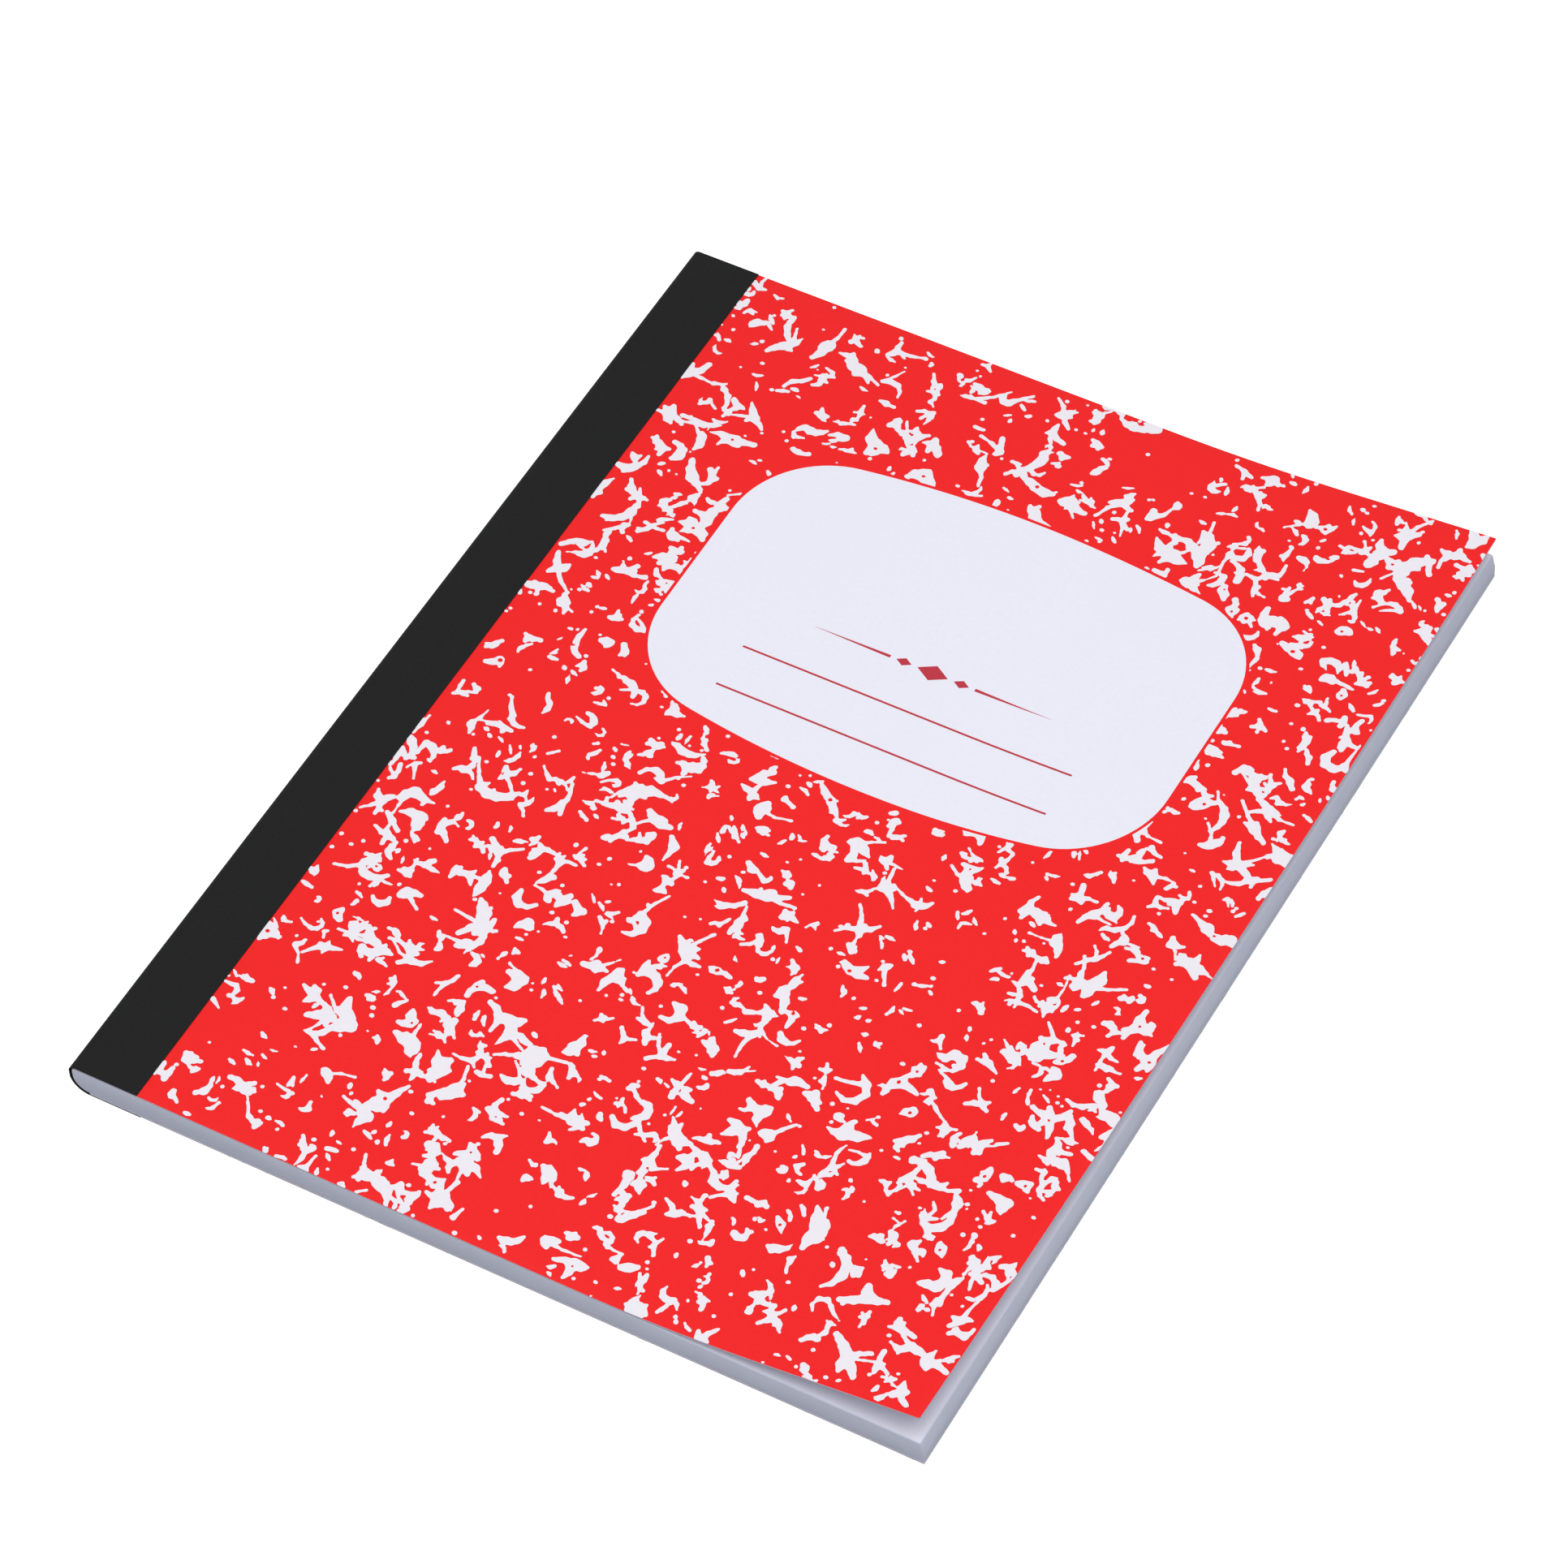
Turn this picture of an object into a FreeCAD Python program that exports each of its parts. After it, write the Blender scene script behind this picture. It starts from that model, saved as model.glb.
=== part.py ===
import FreeCAD, Part
import math
import os
import random

# A soft composition notebook, closed and lying on its back cover, in millimetres.
# X runs from the spine to the fore edge, Y from the tail to the head, Z up from the table.
# The origin is on the table, under the middle of the closed book.

Vector = FreeCAD.Vector

# Trimmed size of the book
book_width = 190.5
book_height = 247.65

# Thicknesses, from the outside in
tape_thickness = 0.2
cover_thickness = 0.4
block_thickness = 6.0

# The rounded spine, measured on the outside of the tape
front_corner_radius = 1.5
back_corner_radius = 4.2

# The tape's reach over the outside of each cover; it is trimmed flush with the book at the head and the tail
tape_flap = 16.0

# The front cover lies flat up to the bow, bends up over a short arc and runs straight to its fore edge
bow_start = 115.0
bow_arc_length = 40.0
# Lift of its fore edge, at evenly spaced places from the tail to the head
fore_edge_lifts = [8.2, 5.9, 4.6, 4.1, 4.9]
# The bowed card is built of narrow strips, so that what is printed on it follows it closely
bow_arc_strips = 8
bow_straight_strips = 4
bow_stations = 9

# The sewing through the fold, with the thread pulled flat and square
thread_width = 0.5
thread_clearance = 0.05
thread_depth = 3.2
stitch_count = 20
stitch_margin = 10.0

# The print, as thin fields of colour
print_thickness = 0.1
label_thickness = 0.12
label_ink_thickness = 0.1
tape_to_print_gap = 0.1

# The name panel on the front cover
label_width = 117.0
label_height = 79.6
label_side_length = 29.6
label_corner_radius = 22.0
label_head_margin = 36.0
# It sits a little off the middle of the red, towards the spine
label_offset = 0.7
label_keyline_gap = 0.7

# The two writing lines and the ornament over them, placed from the panel's centre
rule_length = 76.0
rule_width = 0.45
rule_drops = [17.1, 28.3]
ornament_drop = 5.7
ornament_width = 55.0
ornament_lozenge_width = 7.0
ornament_lozenge_height = 4.2
ornament_small_width = 3.5
ornament_small_height = 2.1
ornament_gap = 1.4
ornament_rule_width = 0.7

# The marbling: torn white blotches, the large ones placed first
marbling_seed = 11
front_blotch_count = 220
back_blotch_count = 110
largest_blotch_radius = 8.5
smallest_blotch_radius = 2.4
blotch_gap = 0.2
blotch_placing_tries = 200
# Its corners step out to tips and back into bays, as shares of its radius, and it is squeezed to one side
blotch_corner_pairs = 4
blotch_tip_reach = (0.9, 1.0)
blotch_bay_reach = (0.4, 0.8)
blotch_squeeze = (0.5, 1.0)
blotch_corner_sway = 0.4
point_tolerance = 0.01

# Sizes that follow
back_cover_low = tape_thickness
block_low = back_cover_low + cover_thickness
front_cover_low = block_low + block_thickness
front_cover_top = front_cover_low + cover_thickness
tape_top = front_cover_top + tape_thickness
block_corner_front = front_corner_radius - tape_thickness - cover_thickness
block_corner_back = back_corner_radius - tape_thickness - cover_thickness
bow_straight_length = book_width - bow_start - bow_arc_length
label_centre_x = (tape_flap + book_width) / 2 - label_offset
label_centre_y = book_height - label_head_margin - label_height / 2
above_everything = tape_top + 2 * max(fore_edge_lifts)


def at(x, y, z):
    """A point given from the spine's outer face, the tail edge and the table."""
    return Vector(x - book_width / 2, y - book_height / 2, z)


def line(start, end):
    return Part.LineSegment(start, end).toShape()


def arc(start, through, end):
    return Part.Arc(start, through, end).toShape()


def quarter_arc(centre_x, centre_z, radius, start_degrees, end_degrees, y):
    """An arc of the spine's section, with its angles measured from X towards Z."""
    points = []
    for degrees in (start_degrees, (start_degrees + end_degrees) / 2, end_degrees):
        turn = math.radians(degrees)
        points.append(at(centre_x + radius * math.cos(turn), y, centre_z + radius * math.sin(turn)))
    return arc(points[0], points[1], points[2])


def closed_face(edges):
    return Part.Face(Part.Wire(edges))


def box(x_low, x_high, y_low, y_high, z_low, z_high):
    return Part.makeBox(x_high - x_low, y_high - y_low, z_high - z_low, at(x_low, y_low, z_low))


def along_y(face, length):
    return face.extrude(Vector(0, length, 0))


# Pages, thread and tape

def sewing(clearance, back_x):
    """The thread: a run along the back of the fold, a run inside it, and the stitches that join them."""
    half = thread_width / 2 + clearance
    height = block_low + block_thickness / 2
    first_y = stitch_margin
    last_y = book_height - stitch_margin

    def run(x_low, x_high, y_low, y_high):
        return box(x_low, x_high, y_low - half, y_high + half, height - half, height + half)

    pieces = [
        run(back_x, thread_back_x() + thread_width + clearance, first_y, last_y),
        run(thread_depth - half, thread_depth + half, first_y, last_y),
    ]
    for index in range(stitch_count + 1):
        y = first_y + (last_y - first_y) * index / stitch_count
        pieces.append(run(back_x, thread_depth, y, y))
    return pieces[0].multiFuse(pieces[1:]).removeSplitter()


def thread_back_x():
    """The back of the thread, just inside the rounded fold at the thread's lower side."""
    drop = block_corner_back - (block_thickness - thread_width) / 2
    return tape_thickness + block_corner_back - math.sqrt(block_corner_back ** 2 - drop ** 2) + thread_clearance


def binding_thread():
    return sewing(0, thread_back_x())


def page_block():
    """The trimmed sheets, with the rounded fold of the spine and an open slot for the sewing."""
    top = front_cover_low
    x_spine = tape_thickness
    front_x = x_spine + block_corner_front
    back_x = x_spine + block_corner_back
    front_z = top - block_corner_front
    back_z = block_low + block_corner_back
    outline = [
        line(at(book_width, 0, block_low), at(book_width, 0, top)),
        line(at(book_width, 0, top), at(front_x, 0, top)),
        quarter_arc(front_x, front_z, block_corner_front, 90, 180, 0),
        line(at(x_spine, 0, front_z), at(x_spine, 0, back_z)),
        quarter_arc(back_x, back_z, block_corner_back, 180, 270, 0),
        line(at(back_x, 0, block_low), at(book_width, 0, block_low)),
    ]
    return along_y(closed_face(outline), book_height).cut(sewing(thread_clearance, 0))


def spine_tape():
    """One strip of tape, wrapped round the spine and glued over the outside of both covers."""
    top = tape_top
    inside_front = front_corner_radius - tape_thickness
    inside_back = back_corner_radius - tape_thickness
    front_z = top - front_corner_radius
    back_z = back_corner_radius
    outline = [
        line(at(tape_flap, 0, top), at(front_corner_radius, 0, top)),
        quarter_arc(front_corner_radius, front_z, front_corner_radius, 90, 180, 0),
        line(at(0, 0, front_z), at(0, 0, back_z)),
        quarter_arc(back_corner_radius, back_z, back_corner_radius, 180, 270, 0),
        line(at(back_corner_radius, 0, 0), at(tape_flap, 0, 0)),
        line(at(tape_flap, 0, 0), at(tape_flap, 0, tape_thickness)),
        line(at(tape_flap, 0, tape_thickness), at(back_corner_radius, 0, tape_thickness)),
        quarter_arc(back_corner_radius, back_z, inside_back, 270, 180, 0),
        line(at(tape_thickness, 0, back_z), at(tape_thickness, 0, front_z)),
        quarter_arc(front_corner_radius, front_z, inside_front, 180, 90, 0),
        line(at(front_corner_radius, 0, top - tape_thickness), at(tape_flap, 0, top - tape_thickness)),
        line(at(tape_flap, 0, top - tape_thickness), at(tape_flap, 0, top)),
    ]
    return along_y(closed_face(outline), book_height)


# Covers

def lift_line():
    """The line of the fore edge's lift, smooth through its given places."""
    last = len(fore_edge_lifts) - 1
    points = [Vector(0, book_height * i / last, lift) for i, lift in enumerate(fore_edge_lifts)]
    curve = Part.BSplineCurve()
    curve.interpolate(points)
    return curve


def bow_section(place, low, high):
    """The bowed part of the front cover at one place of the lift line, between two levels of the card."""
    turn = place.z / (bow_arc_length / 2 + bow_straight_length)
    radius = bow_arc_length / turn
    centre_z = front_cover_low + radius

    def on_arc(angle, level):
        reach = radius - level
        return at(bow_start + reach * math.sin(angle), place.y, centre_z - reach * math.cos(angle))

    def on_straight(share, level):
        run = Vector(math.cos(turn), 0, math.sin(turn)) * bow_straight_length * share
        return on_arc(turn, level) + run

    def out_to_fore_edge(level):
        edges = []
        for strip in range(bow_arc_strips):
            start = turn * strip / bow_arc_strips
            end = turn * (strip + 1) / bow_arc_strips
            edges.append(arc(on_arc(start, level), on_arc((start + end) / 2, level), on_arc(end, level)))
        for strip in range(bow_straight_strips):
            start = on_straight(strip / bow_straight_strips, level)
            edges.append(line(start, on_straight((strip + 1) / bow_straight_strips, level)))
        return edges

    ends = [
        line(on_straight(1, low), on_straight(1, high)),
        line(on_arc(0, high), on_arc(0, low)),
    ]
    return Part.Wire(Part.__sortEdges__(out_to_fore_edge(low) + out_to_fore_edge(high) + ends))


def bowed_card(low, high):
    """The bowed part of the front cover, between two levels of the card."""
    places = lift_line().discretize(Number=bow_stations)
    return Part.makeLoft([bow_section(place, low, high) for place in places], True, True)


def flat_card(x_from, low, high):
    return box(x_from, bow_start, 0, book_height, front_cover_low + low, front_cover_low + high)


def front_cover():
    return flat_card(front_corner_radius, 0, cover_thickness).fuse(bowed_card(0, cover_thickness))


def back_cover():
    return box(back_corner_radius, book_width, 0, book_height, back_cover_low, block_low)


# Print

def label_outline(margin):
    """The name panel: straight sides, round corners and slightly arched head and foot."""
    half_width = label_width / 2 + margin
    half_height = label_height / 2 + margin
    side = label_side_length / 2
    radius = label_corner_radius + margin
    rise = half_height - side
    inset = half_width - radius
    arch_radius = (rise ** 2 + inset ** 2 - radius ** 2) / (2 * (rise - radius))
    turn = math.asin(inset / (arch_radius - radius))

    def point(x, y):
        return at(label_centre_x + x, label_centre_y + y, 0)

    def corner(sign_x, sign_y, angle):
        x = inset + radius * math.cos(angle)
        y = side + radius * math.sin(angle)
        return point(sign_x * x, sign_y * y)

    corner_end = math.pi / 2 - turn
    edges = []
    for sign_x, sign_y in ((1, 1), (-1, 1), (-1, -1), (1, -1)):
        edges.append(arc(
            corner(sign_x, sign_y, 0),
            corner(sign_x, sign_y, corner_end / 2),
            corner(sign_x, sign_y, corner_end)))
    for sign_y in (1, -1):
        edges.append(arc(
            corner(1, sign_y, corner_end),
            point(0, sign_y * half_height),
            corner(-1, sign_y, corner_end)))
    for sign_x in (1, -1):
        edges.append(line(corner(sign_x, 1, 0), corner(sign_x, -1, 0)))
    return Part.Face(Part.Wire(Part.__sortEdges__(edges)))


def standing_prism(face):
    """A flat shape on the table, carried up past the whole book."""
    return face.extrude(Vector(0, 0, above_everything))


def polygon(points):
    return Part.Face(Part.makePolygon(points + [points[0]]))


def rectangle(centre_x, centre_y, width, height):
    x_low = centre_x - width / 2
    y_low = centre_y - height / 2
    return polygon([
        at(x_low, y_low, 0),
        at(x_low + width, y_low, 0),
        at(x_low + width, y_low + height, 0),
        at(x_low, y_low + height, 0),
    ])


def lozenge(centre_x, centre_y, width, height):
    return polygon([
        at(centre_x - width / 2, centre_y, 0),
        at(centre_x, centre_y - height / 2, 0),
        at(centre_x + width / 2, centre_y, 0),
        at(centre_x, centre_y + height / 2, 0),
    ])


def printed(faces, low, high):
    """Flat shapes as print between two levels of the front card, on its flat part and up its bow."""
    bowed = bowed_card(low, high)
    flat = flat_card(tape_flap, low, high)
    fold = at(bow_start, 0, 0).x
    prints = []
    prisms_past_fold = []
    for face in faces:
        prism = standing_prism(face)
        if face.BoundBox.XMax < fold:
            raised = face.translated(Vector(0, 0, front_cover_low + low))
            prints.append(raised.extrude(Vector(0, 0, high - low)))
        elif face.BoundBox.XMin > fold:
            prisms_past_fold.append(prism)
        else:
            prints.append(flat.common(prism).fuse(bowed.common(prism)))
    if prisms_past_fold:
        prints.append(bowed.common(Part.makeCompound(prisms_past_fold)))
    return Part.makeCompound([solid for shape in prints for solid in shape.Solids])


def label_panel():
    return printed([label_outline(0)], cover_thickness, cover_thickness + label_thickness)


def label_ink(faces):
    low = cover_thickness + label_thickness
    return printed(faces, low, low + label_ink_thickness)


def label_rules():
    return label_ink([
        rectangle(label_centre_x, label_centre_y - drop, rule_length, rule_width) for drop in rule_drops])


def label_ornament():
    """A lozenge between two smaller ones, with a tapering line to each side."""
    y = label_centre_y - ornament_drop
    small_offset = ornament_lozenge_width / 2 + ornament_gap + ornament_small_width / 2
    taper_offset = small_offset + ornament_small_width / 2 + ornament_gap
    faces = [lozenge(label_centre_x, y, ornament_lozenge_width, ornament_lozenge_height)]
    for side in (1, -1):
        small_x = label_centre_x + side * small_offset
        taper_start = label_centre_x + side * taper_offset
        faces.append(lozenge(small_x, y, ornament_small_width, ornament_small_height))
        faces.append(polygon([
            at(taper_start, y - ornament_rule_width / 2, 0),
            at(label_centre_x + side * ornament_width / 2, y, 0),
            at(taper_start, y + ornament_rule_width / 2, 0),
        ]))
    return label_ink(faces)


def blotch_circles(count, draw, allowed):
    """Places and sizes of the blotches: the largest first, each clear of those before it."""
    circles = []
    for index in range(count):
        share = index / (count - 1)
        radius = largest_blotch_radius + (smallest_blotch_radius - largest_blotch_radius) * share ** 0.5
        for _ in range(blotch_placing_tries):
            x = draw.uniform(tape_flap, book_width)
            y = draw.uniform(0, book_height)
            clear = all(math.hypot(x - cx, y - cy) > radius + cr + blotch_gap for cx, cy, cr in circles)
            if clear and allowed(x, y):
                circles.append((x, y, radius))
                break
    return circles


def blotch(x, y, radius, draw):
    """A torn white patch: a ring of corners that step out to tips and back into bays."""
    start = draw.uniform(0, 2 * math.pi)
    lean = draw.uniform(0, math.pi)
    squeeze = draw.uniform(*blotch_squeeze)
    points = []
    for index in range(2 * blotch_corner_pairs):
        reach = radius * draw.uniform(*(blotch_bay_reach if index % 2 else blotch_tip_reach))
        sway = draw.uniform(-blotch_corner_sway, blotch_corner_sway)
        angle = start + math.pi * (index + sway) / blotch_corner_pairs
        along = reach * math.cos(angle)
        across = reach * squeeze * math.sin(angle)
        points.append(at(
            x + along * math.cos(lean) - across * math.sin(lean),
            y + along * math.sin(lean) + across * math.cos(lean),
            0))
    return polygon(points)


def marbling(count, seed, area):
    """The blotches of one cover, cut off at the edges of its printed area."""
    draw = random.Random(seed)
    circles = blotch_circles(count, draw, lambda x, y: area.isInside(at(x, y, 0), point_tolerance, True))
    faces = []
    for x, y, radius in circles:
        faces += blotch(x, y, radius, draw).common(area).Faces
    return faces


def printed_area():
    x_low = tape_flap + tape_to_print_gap
    return rectangle((x_low + book_width) / 2, book_height / 2, book_width - x_low, book_height)


def front_marbling():
    """The blotches of the front cover, a little way off the name panel."""
    area = printed_area().cut(label_outline(label_keyline_gap))
    faces = marbling(front_blotch_count, marbling_seed, area)
    return printed(faces, cover_thickness, cover_thickness + print_thickness)


def back_marbling():
    """The same print on the back cover, facing down."""
    down = Vector(0, 0, -print_thickness)
    solids = []
    for face in marbling(back_blotch_count, marbling_seed + 1, printed_area()):
        solids.append(face.translated(Vector(0, 0, back_cover_low)).extrude(down))
    return Part.makeCompound(solids)


def main():
    os.makedirs("parts", exist_ok=True)
    pieces = {
        "page_block": page_block(),
        "binding_thread": binding_thread(),
        "spine_tape": spine_tape(),
        "front_cover": front_cover(),
        "back_cover": back_cover(),
        "label_panel": label_panel(),
        "label_rules": label_rules(),
        "label_ornament": label_ornament(),
        "front_marbling": front_marbling(),
        "back_marbling": back_marbling(),
    }
    for name, shape in pieces.items():
        shape.exportStep("parts/" + name + ".step")
        print(name, len(shape.Solids), "solids,", round(shape.Volume, 2), "mm3, valid", shape.isValid())


main()
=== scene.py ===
import math
from functools import partial

import bpy
import numpy as np
from bpy.props import FloatProperty, FloatVectorProperty, IntProperty, PointerProperty
from mathutils import Matrix, Vector


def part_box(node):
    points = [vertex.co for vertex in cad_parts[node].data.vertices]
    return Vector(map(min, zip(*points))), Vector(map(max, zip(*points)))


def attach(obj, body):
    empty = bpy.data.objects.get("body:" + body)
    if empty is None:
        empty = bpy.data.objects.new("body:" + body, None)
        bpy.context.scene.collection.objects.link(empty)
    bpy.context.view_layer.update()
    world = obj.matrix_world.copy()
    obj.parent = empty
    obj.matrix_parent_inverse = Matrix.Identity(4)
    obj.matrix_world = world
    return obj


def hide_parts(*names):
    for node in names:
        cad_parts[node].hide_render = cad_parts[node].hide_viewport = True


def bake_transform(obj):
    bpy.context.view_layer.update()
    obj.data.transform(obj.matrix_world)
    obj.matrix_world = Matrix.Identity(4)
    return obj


bl_info = {
    "name": "Composition Notebook",
    "version": (1, 0, 0),
    "blender": (4, 5, 0),
    "location": "View3D > Sidebar > Notebook",
    "description": "Dresses a marbled composition notebook: covers, print, panel, pages, tape and stage",
    "category": "Object",
}

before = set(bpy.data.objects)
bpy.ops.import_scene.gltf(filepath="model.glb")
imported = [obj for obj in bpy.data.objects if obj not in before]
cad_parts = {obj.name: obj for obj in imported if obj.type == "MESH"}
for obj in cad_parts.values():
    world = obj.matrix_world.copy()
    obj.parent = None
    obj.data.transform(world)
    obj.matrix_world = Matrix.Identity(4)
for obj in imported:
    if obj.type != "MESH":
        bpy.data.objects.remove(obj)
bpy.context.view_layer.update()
MM = 0.001

# Places taken from the frame
FRONT_LOW, FRONT_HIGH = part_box("front_cover")
BACK_LOW, BACK_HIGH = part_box("back_cover")
BLOCK_LOW, BLOCK_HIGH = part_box("page_block")
TAPE_LOW, TAPE_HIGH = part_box("spine_tape")
CARD_THICKNESS = BACK_HIGH.z - BACK_LOW.z
SPINE_X = TAPE_LOW.x
FORE_EDGE_X = BLOCK_HIGH.x
TAIL_Y = FRONT_LOW.y
HEAD_Y = FRONT_HIGH.y
TAPE_THICKNESS = BLOCK_LOW.x - TAPE_LOW.x

# Divisions of a card and of half the tape, along x and y, and fine sizes of the meshes
CARD_GRID = (76, 60)
TAPE_GRID = (60, 110)
BEND_STEP = 2.5 * MM
CARD_BEVEL = 0.08 * MM
PAGE_BEVEL = 0.3 * MM
NEAR = 0.01 * MM
# Share of the block's height from which its fore edge leans, and what sets the back's marbling apart
LEAN_START = 0.45
BACK_SEED_STEP = 50

# The stage in metres, watts and degrees, with the camera as fitted to the photograph
FLOOR_SIZE = 12
FLOOR_SHARE = 0.42
FLOOR_GLOW = 0.85
SKY_COLOUR = (0.95, 0.97, 1)
SKY_LIGHT = 0.43
LAMP = {"place": (0.22, -0.25, 1.5), "size": 1.4, "power": 18.6}
CAMERA = {"azimuth": 32.0019, "elevation": 50.6068, "roll": -3.599, "lens": 154.044,
          "target": Vector((-0.00846, 0.0078, 0)), "distance": 1.36016}
SENSOR_MM = 36


def rgb(code):
    """An sRGB hex colour as the linear values that the shaders take."""
    parts = [int(code[i:i + 2], 16) / 255 for i in (0, 2, 4)]
    return tuple(c / 12.92 if c <= 0.04045 else ((c + 0.055) / 1.055) ** 2.4 for c in parts)


def length(name, description, millimetres):
    """A length that the user can change."""
    return FloatProperty(
        name=name, description=description, default=millimetres * MM, unit="LENGTH", precision=5)


def colour(name, description, code):
    """A colour that the user can change."""
    return FloatVectorProperty(
        name=name, description=description, default=rgb(code), subtype="COLOR", min=0, max=1)


class NotebookSizes(bpy.types.PropertyGroup):
    bow_start: length("Bow start", "Where the front cover leaves the pages, from the spine", 115)
    bow_arc: length("Bow arc", "How far the bend of the bow runs", 40)
    lifts: FloatVectorProperty(
        name="Fore edge lifts", description="Lift of the front cover's fore edge, from the tail to the head",
        default=[lift * MM for lift in (8.2, 5.9, 4.6, 4.1, 4.9)], size=5, unit="LENGTH")
    front_corner: length("Front corner", "Outer radius of the spine's front edge", 1.5)
    back_corner: length("Back corner", "Outer radius of the spine's back edge", 4.2)
    print_thickness: length("Print thickness", "How far a printed field stands on the card", 0.04)
    label_width: length("Panel width", "Width of the name panel", 117)
    label_height: length("Panel height", "Height of the name panel at its middle", 79.6)
    label_side: length("Panel side", "Length of the panel's straight sides", 29.6)
    label_offset: length("Panel offset", "Shift of the panel from the middle of the red to the spine", 0.7)
    label_head_margin: length("Panel margin", "Distance of the panel from the head", 36)
    label_corner: length("Panel corner", "Radius of the panel's corners", 22)
    keyline: length("Keyline", "Red line left between the panel and the marbling", 0.7)
    rule_length: length("Rule length", "Length of the two writing lines", 76)
    rule_width: length("Rule width", "Thickness of the two writing lines", 0.45)
    first_rule_drop: length("First rule", "Drop of the first writing line below the panel's centre", 17.1)
    second_rule_drop: length("Second rule", "Drop of the second writing line below the panel's centre", 28.3)
    ornament_drop: length("Ornament drop", "Drop of the ornament below the panel's centre", 5.7)
    ornament_width: length("Ornament width", "Width of the ornament with its two tapering lines", 55)
    lozenge_width: length("Lozenge width", "Width of the ornament's middle lozenge", 7)
    lozenge_height: length("Lozenge height", "Height of the ornament's middle lozenge", 4.2)
    fold_gap: length("Fold gap", "Gap left between the folded sheets and the tape", 0.4)
    sheet_line_step: length("Sheet line step", "Distance between the lines that show on the cut pages", 0.42)
    fore_edge_lean: length("Fore edge lean", "How far the upper sheets lie back at the fore edge", 0.7)


class NotebookMarbling(bpy.types.PropertyGroup):
    seed: IntProperty(name="Seed", description="Another number gives another sheet of marbling", default=34)
    cell: length("Cell", "Step at which the marbling's outlines are followed", 0.32)
    splashes: IntProperty(name="Splashes", description="Runs of torn splashes on one cover", default=540)
    dashes: IntProperty(name="Dashes", description="Groups of short dashes on one cover", default=300)
    drops: IntProperty(name="Drops", description="Small round drops on one cover", default=640)


class NotebookColours(bpy.types.PropertyGroup):
    red: colour("Cover red", "The printed red of both covers", "F22526")
    white: colour("Panel white", "The cool white of the name panel", "EAEAF4")
    speckle: colour("Marbling white", "The warmer white of the marbling", "EEE9F0")
    core: colour("Card core", "The cut edge of the card", "CFC9D8")
    ink: colour("Label ink", "The dark red ink on the name panel", "B8293A")
    tape: colour("Tape black", "The black of the spine tape", "171717")
    page: colour("Page white", "The white of the writing paper", "EAE8F5")
    # Painted shade: a darker white than the page, given to the cut edges on the block's sides
    shaded_page_edge: colour("Cut edges", "The cut edges of the sheets", "D5D9EA")
    page_shade: colour("Sheet lines", "The darker lines between the sheets", "C8CCDF")
    thread: colour("Thread", "The unbleached thread of the sewing", "EBE8E0")
    floor: colour("Floor", "The pale floor and background", "FFFFFF")


def sizes():
    return bpy.context.scene.notebook_sizes


def colours():
    return bpy.context.scene.notebook_colours


# Shape of the bowed front cover

def lift_at(y):
    """Lift of the fore edge, on the smooth line through its five given places."""
    places = np.linspace(TAIL_Y, HEAD_Y, len(sizes().lifts)) / MM
    line = np.polynomial.Polynomial.fit(places, np.array(sizes().lifts) / MM, len(sizes().lifts) - 1)
    return line(y / MM) * MM


def on_front_card(points):
    """Moves points from a flat card, with z measured from its underside, onto the bowed card."""
    s = sizes()
    straight = FORE_EDGE_X - SPINE_X - s.bow_start - s.bow_arc
    run = points[:, 0] - SPINE_X - s.bow_start
    level = points[:, 2]
    turn = lift_at(points[:, 1]) / (s.bow_arc / 2 + straight)
    radius = s.bow_arc / turn
    angle = np.clip(run / radius, 0, turn)
    beyond = np.maximum(run - s.bow_arc, 0)
    reach = radius - level
    x = SPINE_X + s.bow_start + reach * np.sin(angle) + beyond * np.cos(turn)
    z = FRONT_LOW.z + radius - reach * np.cos(angle) + beyond * np.sin(turn)
    flat = run <= 0
    return np.stack([
        np.where(flat, points[:, 0], x),
        points[:, 1],
        np.where(flat, FRONT_LOW.z + level, z)], 1)


# Mesh helpers

def corners_of(obj):
    flat = np.empty(len(obj.data.vertices) * 3)
    obj.data.vertices.foreach_get("co", flat)
    return flat.reshape(-1, 3)


def place_corners(obj, points):
    obj.data.vertices.foreach_set("co", points.ravel())
    obj.data.update()


def pick_only(obj):
    bpy.ops.object.select_all(action="DESELECT")
    obj.select_set(True)
    bpy.context.view_layer.objects.active = obj


def new_piece(name):
    """Names the primitive that was just added."""
    obj = bpy.context.active_object
    obj.name = name
    obj.data.name = name
    return obj


def settle(obj):
    """Puts the piece's place, turn and size into its mesh."""
    pick_only(obj)
    bpy.ops.object.transform_apply(location=True, rotation=True, scale=True)


def finish_with(obj, kind, **settings):
    """Adds a modifier and applies it."""
    pick_only(obj)
    modifier = obj.modifiers.new(kind.title(), kind)
    for key, value in settings.items():
        setattr(modifier, key, value)
    bpy.ops.object.modifier_apply(modifier=modifier.name)


def soften_edges(obj, width, segments, degrees):
    """Bevels the edges that turn by more than those degrees."""
    finish_with(obj, "BEVEL", width=width, segments=segments, limit_method="ANGLE",
                angle_limit=math.radians(degrees))


def smooth(obj, degrees=35):
    pick_only(obj)
    bpy.ops.object.shade_smooth_by_angle(angle=math.radians(degrees))


def flat_sheet(name, low, high, columns, rows):
    """A flat sheet between two corners, divided into columns and rows."""
    bpy.ops.object.select_all(action="DESELECT")
    middle = ((low[0] + high[0]) / 2, (low[1] + high[1]) / 2, 0)
    bpy.ops.mesh.primitive_grid_add(x_subdivisions=columns, y_subdivisions=rows, size=1, location=middle)
    obj = new_piece(name)
    obj.scale = (high[0] - low[0], high[1] - low[1], 1)
    settle(obj)
    return obj


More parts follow.
